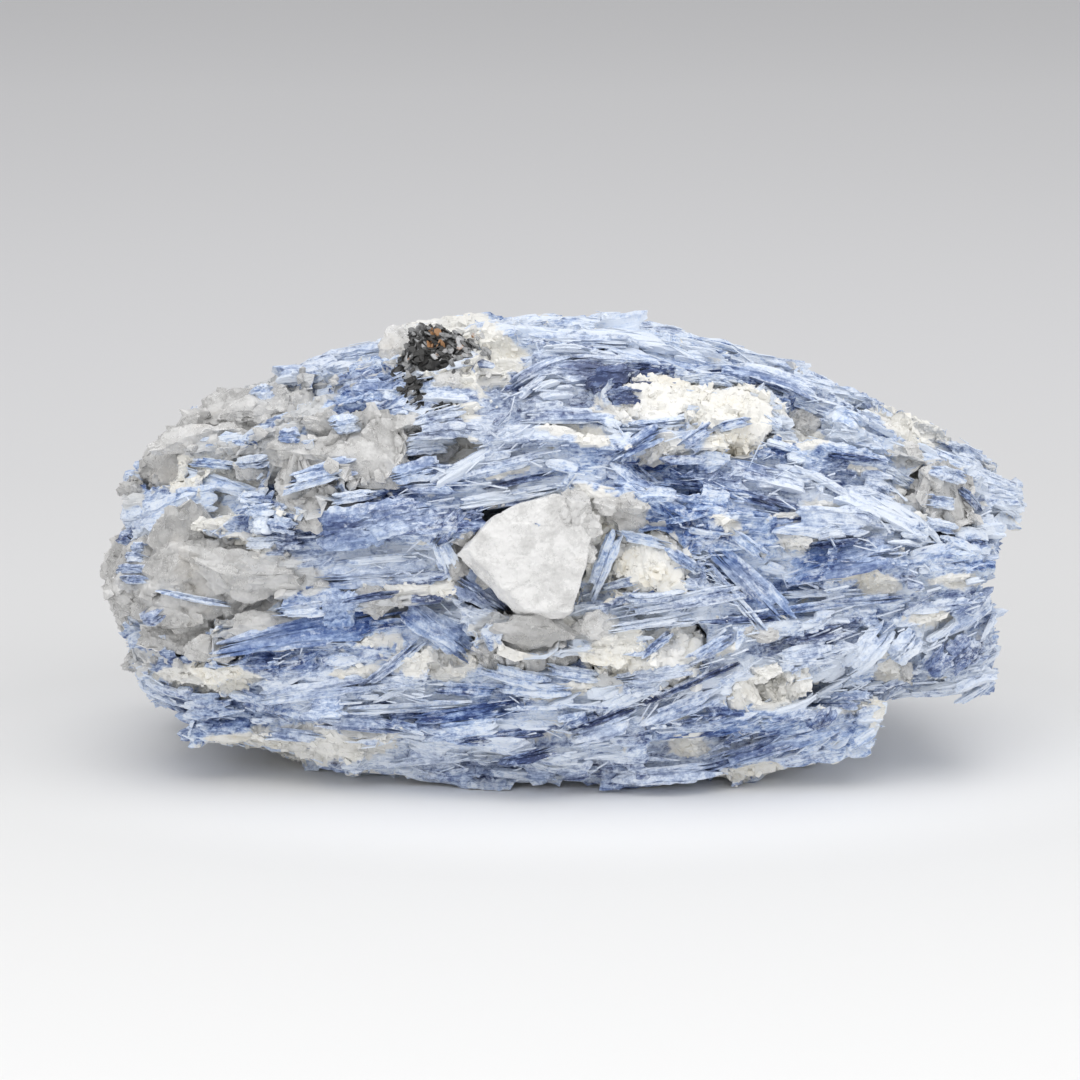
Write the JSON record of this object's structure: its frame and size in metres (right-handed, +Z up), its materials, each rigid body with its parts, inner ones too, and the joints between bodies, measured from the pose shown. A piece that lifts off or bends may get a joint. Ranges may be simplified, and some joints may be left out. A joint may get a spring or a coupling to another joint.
{
  "type": "kyanite blade cluster",
  "caption": "Rough lump of intergrown blue kyanite blades with quartz and cream feldspar grains and a dark mica book, standing on a broken level face.",
  "frame": {"origin": "on the level resting face, under the middle of the lump", "axes": "+X along the blades towards the tapering end, +Z up, -Y towards the side with the large quartz crystal"},
  "size_m": [0.1993, 0.1129, 0.0966],
  "materials": {
    "kyanite": "satin, finely striated along the blades, white and frayed at the broken ends",
    "quartz_crystal": "milky, translucent, flat faces with a soft gloss",
    "quartz": "grey, cloudy and translucent, broken and frosty",
    "feldspar": "cream, matt and sugary",
    "mica": "near black, thin shiny plates with rusty flecks"
  },
  "bodies": {
    "root": {"kyanite_blade_mass": "kyanite", "quartz_crystal_front": "quartz_crystal", "quartz_below_crystal": "quartz", "quartz_left_end": "quartz", "quartz_left_top": "quartz", "quartz_left_middle": "quartz", "quartz_right_end": "quartz", "feldspar_upper_right": "feldspar", "feldspar_beside_crystal": "feldspar", "feldspar_low_middle": "feldspar", "mica_book": "mica"}
  },
  "joints": []
}
